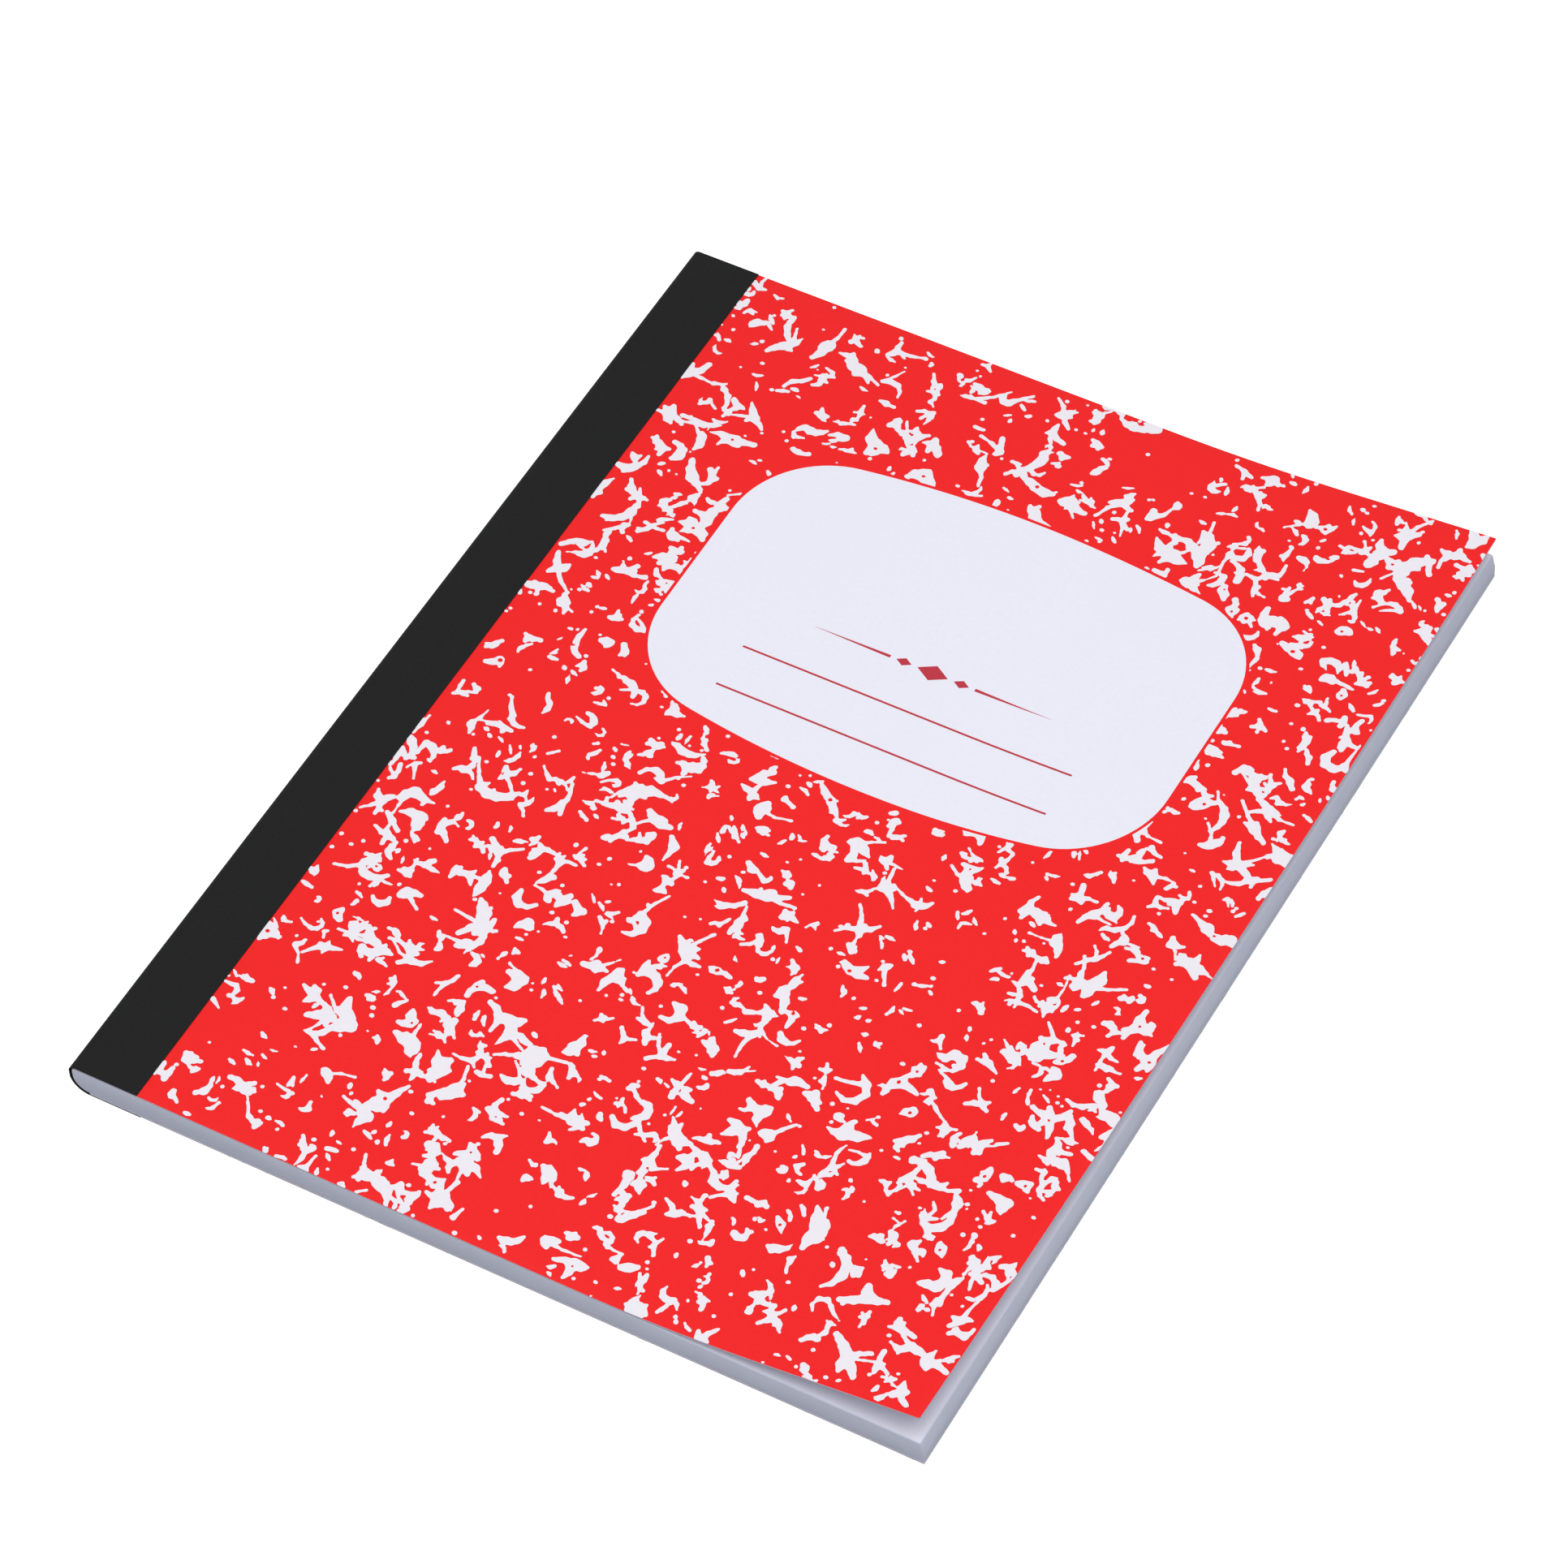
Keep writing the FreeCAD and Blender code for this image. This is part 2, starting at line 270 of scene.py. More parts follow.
def filled_outlines(name, loops):
    """Closed outlines, filled flat, with outlines inside them left open."""
    curve = bpy.data.curves.new(name, "CURVE")
    curve.dimensions = "2D"
    curve.fill_mode = "BOTH"
    for loop in loops:
        spline = curve.splines.new("POLY")
        spline.points.add(len(loop) - 1)
        points = np.zeros((len(loop), 4))
        points[:, :2] = loop
        points[:, 3] = 1
        spline.points.foreach_set("co", points.ravel())
        spline.use_cyclic_u = True
    obj = bpy.data.objects.new(name, curve)
    bpy.context.scene.collection.objects.link(obj)
    pick_only(obj)
    bpy.ops.object.convert(target="MESH")
    return new_piece(name)


def edit_whole(obj, operator, **settings):
    """Runs a mesh operator on all of a piece."""
    pick_only(obj)
    bpy.ops.object.mode_set(mode="EDIT")
    bpy.ops.mesh.select_all(action="SELECT")
    operator(**settings)
    bpy.ops.object.mode_set(mode="OBJECT")


def bend_lines():
    """Places along x at which print can bend, from the start of the cover's bow to its fore edge."""
    return np.arange(SPINE_X + sizes().bow_start, FORE_EDGE_X, BEND_STEP)


def print_on_front(obj, level):
    """Gives a flat printed shape its thickness and lays it on the front card at that level."""
    finish_with(obj, "SOLIDIFY", thickness=sizes().print_thickness, offset=1)
    points = corners_of(obj)
    points[:, 2] -= points[:, 2].min()
    points[:, 2] += level
    place_corners(obj, on_front_card(points))


# Outline of the name panel

def label_centre():
    s = sizes()
    x = (TAPE_HIGH.x + FORE_EDGE_X) / 2 - s.label_offset
    return x, HEAD_Y - s.label_head_margin - s.label_height / 2


def label_form(margin):
    """Half sizes, corner radius and the arch of the panel's head and foot, grown by a margin."""
    s = sizes()
    half_width = s.label_width / 2 + margin
    half_height = s.label_height / 2 + margin
    side = s.label_side / 2
    radius = s.label_corner + margin
    inset = half_width - radius
    rise = half_height - side
    arch = (rise ** 2 + inset ** 2 - radius ** 2) / (2 * (rise - radius))
    turn = math.asin(inset / (arch - radius))
    return half_width, half_height, side, radius, inset, arch, turn


def label_outline(corner_points=20, arch_points=40):
    """The panel's outline, from its right side round against the clock."""
    _, half_height, side, radius, inset, arch, turn = label_form(0)
    corner = np.linspace(0, math.pi / 2 - turn, corner_points)
    quarter = np.stack([inset + radius * np.cos(corner), side + radius * np.sin(corner)], 1)
    sweep = np.linspace(turn, -turn, arch_points)[1:-1]
    head = np.stack([arch * np.sin(sweep), half_height - arch + arch * np.cos(sweep)], 1)
    left = quarter[::-1] * (-1, 1)
    upper = np.concatenate([quarter, head, left])
    return np.concatenate([upper, -upper]) + label_centre()


def outside_label(x, y, margin):
    """Distance outside the name panel, negative within it."""
    half_width, half_height, side, radius, inset, arch, turn = label_form(margin)
    centre_x, centre_y = label_centre()
    u, v = np.abs(x - centre_x), np.abs(y - centre_y)
    from_side = u - half_width
    from_corner = np.hypot(u - inset, v - side) - radius
    arch_v = v - half_height + arch
    from_arch = np.hypot(u, arch_v) - arch
    beside_arch = np.arctan2(u, arch_v) > turn
    return np.where(v <= side, from_side, np.where(beside_arch, from_corner, from_arch))


# Marbling. Lengths and radii are in millimetres and angles in radians, and a share is a part of the
# size of the splash. A pair is the range of an even draw, and a count stops short of its end. Waves
# are given by size, strength and what joins the seed, and placing by tries and how much ink has to
# have gathered.

BARE_DEPTH = -3.0
CLEAR_OF_WHITE = 1.4
INK_LEAN = -0.5
GATHERING = ((21, 0.55, 1), (10, 0.45, 2))
TORN_EDGE = ((1.1, 0.17, 3), (2.6, 0.12, 4))

SPLASH_PLACING = (10, -0.8, 0.3)
LEAN_SPREAD, HEADING_SPREAD, RUN_WANDER = 0.5, 0.4, 0.6
RUN_END_CHANCE, RUN_MOST = 0.42, 5
SPLASH_LEAST, SPLASH_MORE, SPLASH_RARITY = 1.8, 4.0, 1.6
SPLASH_ARMS = (2, 6)
CORE_SHARE = (0.14, 0.28)
ARM_SPACING = (-0.35, 0.35)
ARM_SHARE = (0.3, 0.85)
ARM_STRETCH = 0.4
ARM_TURN = (-1.2, 1.2)
ARM_NARROWING = (0.5, 1)
ARM_TIP = (0.15, 0.7)
HOLE_CHANCE, HOLE_LEAST_CORE, HOLE_OFFSET = 0.55, 0.75, 0.3
HOLE_RADIUS = (0.25, 0.5)

HOOK_CHANCE = 0.2
HOOK_HEADING = (-1.5, 1.5)
HOOK_TURN = (1.4, 4.2)
HOOK_SHARE = (1.0, 1.7)
HOOK_WIDTH_SHARE = (0.12, 0.21)
HOOK_SWELLING = ((0.4, 1), (0.9, 1.3), (1, 1), (0.55, 0.9), (0.3, 0.6))
SPUR_CHANCE = 0.6
SPUR_SHARE = (0.3, 0.6)

LINK_CHANCE = 0.5
LINK_TURN = (-0.8, 0.8)
LINK_RADIUS = (0.25, 0.4)
STEP_SHARE = (0.9, 1.4)

DASH_PLACING = (8, -1, 0.3)
DASH_LEAN_SPREAD, DASH_FAN = 0.6, 0.3
DASHES_IN_GROUP = (1, 4)
DASH_LENGTH = (0.6, 2.6)
DASH_RADIUS = (0.3, 0.55)
DASH_NARROWING = (0.4, 0.9)
DASH_TURN = (-0.9, 0.9)
DASH_SCATTER = (-2.5, 2.5)
DROP_RADIUS = (0.3, 0.5)
DROP_STRETCH = (-0.2, 0.2)


def sway(x, y, size, seed):
    """Smooth random waves of about that size, between minus one and one."""
    cells = 64
    angle = np.random.default_rng(seed).uniform(0, 2 * math.pi, (cells, cells))
    u, v = x / size, y / size
    i, j = np.floor(u).astype(int), np.floor(v).astype(int)
    u, v = u - i, v - j
    ease_u, ease_v = (t ** 3 * (t * (t * 6 - 15) + 10) for t in (u, v))

    def slope(right, up):
        a = angle[(i + right) % cells, (j + up) % cells]
        return np.cos(a) * (u - right) + np.sin(a) * (v - up)

    low = slope(0, 0) * (1 - ease_u) + slope(1, 0) * ease_u
    high = slope(0, 1) * (1 - ease_u) + slope(1, 1) * ease_u
    return 1.4 * (low * (1 - ease_v) + high * ease_v)


class MarbledSheet:
    """White ink on a red sheet, held as the depth of each place within the white."""

    def __init__(self, width, height, cell, seed):
        self.cell = cell
        self.width = width
        self.height = height
        self.seed = seed
        self.draw = np.random.default_rng(seed)
        self.x = np.arange(-cell, width + 2 * cell, cell)
        self.y = np.arange(-cell, height + 2 * cell, cell)
        self.depth = np.full((len(self.y), len(self.x)), BARE_DEPTH)

    def swaying(self, x, y, layers):
        """Waves of several sizes laid over each other: each layer is a size, a strength and a seed."""
        return sum(strength * sway(x, y, size, self.seed + extra) for size, strength, extra in layers)

    def within(self, middle, reach):
        """The grid's lines that lie within reach of a place, in x or in y."""
        first = int((middle - reach) / self.cell)
        last = int((middle + reach) / self.cell) + 3
        return slice(max(first, 0), max(last, 0))

    def spot(self, x, y, reach, arms, holes=(), soften=0.16):
        """Arms are tapering strokes (x, y, radius, x, y, radius) that run softly into each other."""
        rows, columns = self.within(y, reach), self.within(x, reach)
        gx, gy = np.meshgrid(self.x[columns], self.y[rows])
        total = np.full(gx.shape, 1e-12)
        for x0, y0, r0, x1, y1, r1 in arms:
            dx, dy = x1 - x0, y1 - y0
            share = np.clip(((gx - x0) * dx + (gy - y0) * dy) / (dx * dx + dy * dy + 1e-9), 0, 1)
            inside = r0 + (r1 - r0) * share - np.hypot(gx - x0 - dx * share, gy - y0 - dy * share)
            total += np.exp(inside / soften)
        depth = soften * np.log(total)
        for hole_x, hole_y, hole_radius in holes:
            depth = np.minimum(depth, np.hypot(gx - hole_x, gy - hole_y) - hole_radius)
        self.depth[rows, columns] = np.maximum(self.depth[rows, columns], depth)

    def stroke(self, x, y, heading, turn, length, radii):
        """A curved stroke, as a row of short ones, with the given radii along it."""
        arms = []
        step = length / (len(radii) - 1)
        for start, end in zip(radii[:-1], radii[1:]):
            heading += turn / (len(radii) - 1)
            next_x, next_y = x + step * math.cos(heading), y + step * math.sin(heading)
            arms.append((x, y, start, next_x, next_y, end))
            x, y = next_x, next_y
        return arms

    def torn_splash(self, x, y, size, lean):
        """A splash with two to five torn arms, longest along its lean, and now and then a red hole."""
        draw = self.draw
        count = draw.integers(*SPLASH_ARMS)
        start = draw.uniform(0, 2 * math.pi)
        core = size * draw.uniform(*CORE_SHARE)
        arms = []
        for index in range(count):
            angle = start + 2 * math.pi * (index + draw.uniform(*ARM_SPACING)) / count
            stretch = 1 + ARM_STRETCH * math.cos(2 * (angle - lean))
            length = size * draw.uniform(*ARM_SHARE) * stretch
            radii = (
                core, core * draw.uniform(*ARM_NARROWING), min(draw.uniform(*ARM_TIP), 0.9 * core))
            arms += self.stroke(x, y, angle, draw.uniform(*ARM_TURN), length, radii)
        holes = []
        if core > HOLE_LEAST_CORE and draw.random() < HOLE_CHANCE:
            turn = draw.uniform(0, 2 * math.pi)
            hole_x = x + HOLE_OFFSET * core * math.cos(turn)
            hole_y = y + HOLE_OFFSET * core * math.sin(turn)
            holes.append((hole_x, hole_y, draw.uniform(*HOLE_RADIUS)))
        self.spot(x, y, 2 * size + 2, arms, holes)

    def hook(self, x, y, size, lean):
        """A crescent with a swollen end and a thin tail, as left round a drop of the red."""
        draw = self.draw
        turn = draw.choice((-1, 1)) * draw.uniform(*HOOK_TURN)
        length = size * draw.uniform(*HOOK_SHARE)
        wide = size * draw.uniform(*HOOK_WIDTH_SHARE)
        radii = [wide * draw.uniform(*swelling) for swelling in HOOK_SWELLING]
        arms = self.stroke(x, y, lean + draw.uniform(*HOOK_HEADING), turn, length, radii)
        if draw.random() < SPUR_CHANCE:
            spur = size * draw.uniform(*SPUR_SHARE)
            heading, bend = draw.uniform(0, 6.3), draw.uniform(-1, 1)
            arms += self.stroke(x, y, heading, bend, spur, (wide, 0.6 * wide, 0.2))
        self.spot(x, y, length + 3, arms)

    def link(self, x, y, heading, length):
        """A thin thread of ink from one splash to the next of its run."""
        thin = self.draw.uniform(*LINK_RADIUS)
        turn = self.draw.uniform(*LINK_TURN)
        arms = self.stroke(x, y, heading, turn, length, (2 * thin, thin, thin))
        self.spot(x, y, length + 2, arms)

    def dash(self, x, y, lean):
        """A short stroke, thinner at its ends."""
        draw = self.draw
        length = draw.uniform(*DASH_LENGTH)
        wide = draw.uniform(*DASH_RADIUS)
        radii = wide * draw.uniform(*DASH_NARROWING), wide, wide * draw.uniform(*DASH_NARROWING)
        arms = self.stroke(x, y, lean, draw.uniform(*DASH_TURN), length, radii)
        self.spot(x, y, length + 2, arms, soften=0.08)

    def is_red(self, x, y, room):
        """Whether a place lies in the red, at least that far from any white."""
        column = min(max(int(round(x / self.cell)) + 1, 0), len(self.x) - 1)
        row = min(max(int(round(y / self.cell)) + 1, 0), len(self.y) - 1)
        return self.depth[row, column] < -room

    def place(self, tries, low, high):
        """A place on the sheet clear of other white, most often where the ink has run together."""
        for _ in range(tries):
            x, y = self.draw.uniform(0, self.width), self.draw.uniform(0, self.height)
            if not self.is_red(x, y, CLEAR_OF_WHITE):
                continue
            if self.swaying(x, y, GATHERING) > self.draw.uniform(low, high):
                break
        return x, y

    def spread(self, splashes, dashes, drops):
        """Puts the runs of splashes, then the groups of dashes and the drops, on the sheet."""
        draw = self.draw
        for _ in range(splashes):
            x, y = self.place(*SPLASH_PLACING)
            lean = draw.normal(INK_LEAN, LEAN_SPREAD)
            heading = lean + draw.choice((0, math.pi)) + draw.normal(0, HEADING_SPREAD)
            for number in range(min(draw.geometric(RUN_END_CHANCE), RUN_MOST)):
                size = SPLASH_LEAST + SPLASH_MORE * draw.random() ** SPLASH_RARITY
                if number == 0 or self.is_red(x, y, 0.1):
                    form = self.hook if draw.random() < HOOK_CHANCE else self.torn_splash
                    form(x, y, size, lean)
                heading += draw.normal(0, RUN_WANDER)
                step = size * draw.uniform(*STEP_SHARE)
                if draw.random() < LINK_CHANCE:
                    self.link(x, y, heading, step)
                x, y = x + step * math.cos(heading), y + step * math.sin(heading)
        for _ in range(dashes):
            x, y = self.place(*DASH_PLACING)
            lean = draw.normal(INK_LEAN, DASH_LEAN_SPREAD)
            for _ in range(draw.integers(*DASHES_IN_GROUP)):
                self.dash(x, y, lean + draw.normal(0, DASH_FAN))
                x, y = x + draw.uniform(*DASH_SCATTER), y + draw.uniform(*DASH_SCATTER)
        for _ in range(drops):
            x, y = draw.uniform(0, self.width), draw.uniform(0, self.height)
            radius = draw.uniform(*DROP_RADIUS)
            drop = (x, y, radius, x + draw.uniform(*DROP_STRETCH), y, radius)
            self.spot(x, y, 1.5, [drop], soften=0.05)
        self.depth += self.swaying(*np.meshgrid(self.x, self.y), TORN_EDGE)

    def outlines(self, least_area=0.12):
        """The closed outlines of the white, in millimetres, each with the white to its left."""
        depth = self.depth.copy()
        depth[[0, -1]] = -1
        depth[:, [0, -1]] = -1
        white = depth > 0
        across = self.crossings(depth, 1)
        up = self.crossings(depth, 0)
        follow = {}
        corner = white[:-1, :-1] * 1 + white[:-1, 1:] * 2 + white[1:, 1:] * 4 + white[1:, :-1] * 8
        # The sides of a cell in turn: below, right, above, left. Each case lists where the outline
        # comes in and where it goes out.
        ways = {
            1: [(0, 3)], 2: [(1, 0)], 3: [(1, 3)], 4: [(2, 1)], 5: [(0, 3), (2, 1)], 6: [(2, 0)],
            7: [(2, 3)], 8: [(3, 2)], 9: [(0, 2)], 10: [(1, 0), (3, 2)], 11: [(1, 2)], 12: [(3, 1)],
            13: [(0, 1)], 14: [(3, 0)]}
        sides = [(0, 0, 0), (0, 1, 1), (1, 0, 0), (0, 0, 1)]
        for case, pairs in ways.items():
            for j, i in zip(*np.nonzero(corner == case)):
                for side_in, side_out in pairs:
                    a, b = sides[side_in], sides[side_out]
                    follow[(j + a[0], i + a[1], a[2])] = (j + b[0], i + b[1], b[2])
        loops = []
        while follow:
            key, following = follow.popitem()
            loop = [key]
            while following != key:
                loop.append(following)
                following = follow.pop(following)
            points = np.array([(up if upright else across)[:, j, i] for j, i, upright in loop])
            turned = np.roll(points, -1, axis=0)
            area = 0.5 * np.sum(points[:, 0] * turned[:, 1] - points[:, 1] * turned[:, 0])
            if abs(area) > least_area:
                loops.append(thinned(points))
        return loops

    def crossings(self, depth, axis):
        """Where the outline crosses the lines between neighbouring places, along one axis."""
        a, b = (depth[:, :-1], depth[:, 1:]) if axis else (depth[:-1], depth[1:])
        share = np.where(a == b, 0.5, a / np.where(a == b, 1, a - b))
        share = np.clip(share, 0.02, 0.98)
        gx, gy = np.meshgrid(self.x, self.y)
        if axis:
            return np.stack([gx[:, :-1] + share * self.cell, gy[:, :-1]])
        return np.stack([gx[:-1], gy[:-1] + share * self.cell])


def thinned(points, bend=0.16, longest=1.2):
    """An outline with only the points where it turns, in radians, or has run on for some millimetres."""
    kept = [0]
    turned = 0.0
    ahead = np.roll(points, -1, axis=0) - points
    heading = np.arctan2(ahead[:, 1], ahead[:, 0])
    change = (np.diff(heading, prepend=heading[-1]) + math.pi) % (2 * math.pi) - math.pi
    for index in range(1, len(points)):
        turned += change[index]
        far = np.hypot(*(points[index] - points[kept[-1]])) > longest
        if abs(turned) > bend or far:
            kept.append(index)
            turned = 0.0
    if len(kept) < 4:
        return points
    return points[kept]


def marbled_print(name, extra_seed, around_label):
    """The white on one cover, cut off at the tape and the edges, as flat fields."""
    m = bpy.context.scene.notebook_marbling
    left = TAPE_HIGH.x
    width, height = (FORE_EDGE_X - left) / MM, (HEAD_Y - TAIL_Y) / MM
    sheet = MarbledSheet(width, height, m.cell / MM, m.seed + extra_seed)
    sheet.spread(m.splashes, m.dashes, m.drops)
    gx, gy = np.meshgrid(sheet.x, sheet.y)
    edges = np.minimum(np.minimum(gx, width - gx), np.minimum(gy, height - gy))
    sheet.depth = np.minimum(sheet.depth, edges)
    if around_label:
        away = outside_label(left + gx * MM, TAIL_Y + gy * MM, sizes().keyline) / MM
        sheet.depth = np.minimum(sheet.depth, away)
    return filled_outlines(name, [loop * MM + (left, TAIL_Y) for loop in sheet.outlines()])


# Materials

def add_node(tree, kind, inputs=(), **settings):
    """Adds a node with its settings. Its inputs are given by name, or as a list in the order in which
    the node shows them. Each is a value, or is linked: another node's output, or a node for its first."""
    node = tree.nodes.new("ShaderNode" + kind)
    for key, value in settings.items():
        setattr(node, key, value)
    if isinstance(inputs, dict):
        pairs = [(node.inputs[key], value) for key, value in inputs.items()]
    else:
        pairs = zip([socket for socket in node.inputs if socket.enabled], inputs)
    for socket, value in pairs:
        if isinstance(value, bpy.types.Node):
            value = next(output for output in value.outputs if output.enabled)
        if isinstance(value, bpy.types.NodeSocket):
            tree.links.new(value, socket)
        else:
            socket.default_value = (*value[:3], 1) if socket.type == "RGBA" else value
    return node


def emptied(data):
    """Clears the nodes of a material or world, and gives what adds nodes to it."""
    data.use_nodes = True
    data.node_tree.nodes.clear()
    return partial(add_node, data.node_tree)


def surface(add, tone, roughness, specular, relief=None, sheen=0):
    """The Principled shader of a finish. A relief is its height, its depth in millimetres and its
    strength."""
    sockets = {
        "Base Color": tone, "Roughness": roughness, "Specular IOR Level": specular, "Sheen Weight": sheen}
    if relief:
        height, depth, strength = relief
        sockets["Normal"] = add("Bump", {"Height": height, "Distance": depth * MM, "Strength": strength})
    return add("BsdfPrincipled", sockets)


def grains(millimetres):
    """The scale of a noise whose grains are about that many millimetres across."""
    return 1 / (millimetres * MM)


def waves(millimetres):
    """What a place is multiplied by, for a sine that repeats after that many millimetres."""
    return 2 * math.pi / (millimetres * MM)


def shaded(base, share):
    """A colour with that share of its light."""
    return tuple(c * share for c in base)


def printed_card(add, place, base):
    """Coated cover card, offset printed. Its satin coat spreads the shine of the lamp, and the fibres of
    the sheet give the ink a fine mottle and the surface a very fine tooth."""
    mottle = add("TexNoise", [place, grains(0.9), 4])
    clouds = add("TexNoise", [place, grains(26)])
    tooth = add("TexNoise", [place, grains(0.35), 3])
    speckled = add("MapRange", [mottle, 0.3, 0.7, 0, 1])
    clouded = add("MapRange", [clouds, 0.3, 0.7, 0, 0.5])
    tone = add("Mix", [speckled, shaded(base, 0.965), base], data_type="RGBA")
    tone = add("Mix", [clouded, tone, shaded(base, 0.97)], data_type="RGBA")
    return surface(add, tone, roughness=0.5, specular=0.12, relief=(tooth, 0.01, 0.35))


def cut_card(add, place, base):
    """The cut edge of the card: pale fibres, a little dusty."""
    fibres = add("TexNoise", [place, grains(0.5), 3])
    tone = add("Mix", [fibres, shaded(base, 0.8), base], data_type="RGBA")
    return surface(add, tone, roughness=0.85, specular=0.2)


def inner_card(add, place, base):
    """The uncoated inside of the cover card: matte white with a faint fibre mottle."""
    fibres = add("TexNoise", [place, grains(1.1), 5, 0.6])
    tone = add("Mix", [fibres, shaded(base, 0.93), base], data_type="RGBA")
    return surface(add, tone, roughness=0.8, specular=0.25, relief=(fibres, 0.02, 0.3))


def printing_ink(add, place, base):
    """Dark red offset ink on the white card, a little uneven where it soaked in."""
    soak = add("TexNoise", [place, grains(0.6), 3])
    tone = add("Mix", [soak, shaded(base, 0.88), shaded(base, 1.1)], data_type="RGBA")
    return surface(add, tone, roughness=0.5, specular=0.35)


def binding_tape(add, place, base):
    """Black book tape: embossed paper cloth with a fine crossed grain, so it looks dull and a little
    dusty."""
    axes = add("SeparateXYZ", [place])
    # The threads are 0.35 mm apart; real ones are finer and wouldn't show
    pitch = waves(0.35)
    along = add("Math", [axes.outputs["Y"], pitch], operation="MULTIPLY")
    around = add("Math", [axes.outputs["X"], axes.outputs["Z"]], operation="ADD")
    around = add("Math", [around, pitch], operation="MULTIPLY")
    warp, weft = (add("Math", [angle], operation="SINE") for angle in (along, around))
    weave = add("Math", [warp, weft], operation="MULTIPLY")
    grain = add("TexNoise", [place, grains(0.6), 4, 0.65])
    height = add("Math", [weave, 0.3, grain], operation="MULTIPLY_ADD")
    dust = add("TexNoise", [place, grains(9), 3])
    grained = add("MapRange", [grain, 0.35, 0.65, 0, 1])
    dusty = add("MapRange", [dust, 0.5, 0.75, 0, 0.25])
    tone = add("Mix", [grained, shaded(base, 0.82), shaded(base, 1.12)], data_type="RGBA")
    tone = add("Mix", [dusty, tone, shaded(base, 1.6)], data_type="RGBA")
    return surface(add, tone, roughness=0.75, specular=0.14, relief=(height, 0.05, 0.5))


def writing_paper(add, place, base):
    """Stacked writing paper: a smooth cool white face, and cut edges where the sheets show as faint
    lines that follow the fold round the spine. The cut edges are painted a darker white than the face, as
    painted shade on the block's sides."""
    axes = add("SeparateXYZ", [place])
    facing = add("NewGeometry").outputs["True Normal"]
    upward = add("SeparateXYZ", [facing]).outputs["Z"]
    upward = add("Math", [upward], operation="ABSOLUTE")
    flat_face = add("MapRange", [upward, 0.93, 0.98, 0, 1])
    # Across the sheets: the height above the middle sheet, and past the fold the distance from it
    middle = (BLOCK_LOW.z + BLOCK_HIGH.z) / 2
    fold = BLOCK_LOW.x + (BLOCK_HIGH.z - BLOCK_LOW.z) / 2
    rise = add("Math", [axes.outputs["Z"], middle], operation="SUBTRACT")
    inward = add("Math", [axes.outputs["X"], fold], operation="SUBTRACT")
    inward = add("Math", [inward, 0], operation="MINIMUM")
    stack = add("VectorMath", [add("CombineXYZ", [inward, rise])], operation="LENGTH")
    # The sheets waver by a quarter of a millimetre to each side
    waver = add("TexNoise", [place, grains(18)])
    waver = add("MapRange", [waver, 0, 1, -0.25 * MM, 0.25 * MM])
    stack = add("Math", [stack, waver], operation="ADD")
    turns = add("Math", [stack, waves(sizes().sheet_line_step / MM)], operation="MULTIPLY")
    lines = add("Math", [turns], operation="SINE")
    patches = add("TexNoise", [place, grains(6), 3])
    patches = add("MapRange", [patches, 0.35, 0.7, 0.15, 0.8])
    strength = add("MapRange", [lines, -1, 1, 0, 1])
    strength = add("Math", [strength, patches], operation="MULTIPLY")
    c = colours()
    # Painted shade: the cut edges take a darker white than the flat face, so the block's sides look shaded
    edge = add("Mix", [strength, c.shaded_page_edge, c.page_shade], data_type="RGBA")
    tone = add("Mix", [flat_face, edge, base], data_type="RGBA")
    cut = add("MapRange", [flat_face, 0, 1, 1, 0])
    height = add("Math", [lines, cut], operation="MULTIPLY")
    return surface(add, tone, roughness=0.88, specular=0.2, relief=(height, 0.02, 0.25))


def sewing_thread(add, place, base):
    """Cotton thread, unbleached: two twisted plies that show as slanting stripes."""
    axes = add("SeparateXYZ", [place])
    slant = add("Math", [axes.outputs["Y"], axes.outputs["Z"]], operation="ADD")
    slant = add("Math", [slant, waves(0.7)], operation="MULTIPLY")
    ply = add("Math", [slant], operation="SINE")
    striped = add("MapRange", [ply, -1, 1, 0, 1])
    tone = add("Mix", [striped, shaded(base, 0.75), base], data_type="RGBA")
    return surface(add, tone, roughness=0.9, specular=0.2, relief=(ply, 0.05, 0.4), sheen=0.2)


# Each finish by its name: what makes its shader, and the colour that it starts from
FINISHES = {
    "Red printed cover card": (printed_card, "red"),
    "White of the cover card": (printed_card, "white"),
    "White of the marbling": (printed_card, "speckle"),
    "Cut edge of cover card": (cut_card, "core"),
    "Uncoated inside of cover card": (inner_card, "white"),
    "Dark red printing ink": (printing_ink, "ink"),
    "Black embossed book tape": (binding_tape, "tape"),
    "Cut white writing paper": (writing_paper, "page"),
    "Unbleached cotton thread": (sewing_thread, "thread"),
}


def paint(obj, *finishes):
    """Gives a piece its finishes, each of which is made the first time that it is used."""
    obj.data.materials.clear()
    for name in finishes:
        material = bpy.data.materials.get(name)
        if not material:
            material = bpy.data.materials.new(name)
            add = emptied(material)
            make, base = FINISHES[name]
            shader = make(add, add("TexCoord").outputs["Object"], tuple(getattr(colours(), base)))
            add("OutputMaterial", {"Surface": shader})
        obj.data.materials.append(material)


# Pieces

def card_sheet(name, low, high, printed_up):
    """A slab of card with softened edges: print on one face, bare card on the other, cut round it."""
    card = flat_sheet(name, low, high, *CARD_GRID)
    finish_with(card, "SOLIDIFY", thickness=CARD_THICKNESS, offset=1)
    points = corners_of(card)
    points[:, 2] -= points[:, 2].min()
    place_corners(card, points)
    soften_edges(card, CARD_BEVEL, 2, 60)
    paint(card, "Red printed cover card", "Uncoated inside of cover card", "Cut edge of cover card")
    printed, bare, cut = range(3)
    for face in card.data.polygons:
        up = face.normal.z if printed_up else -face.normal.z
        face.material_index = printed if up > 0.5 else bare if up < -0.5 else cut
    return card


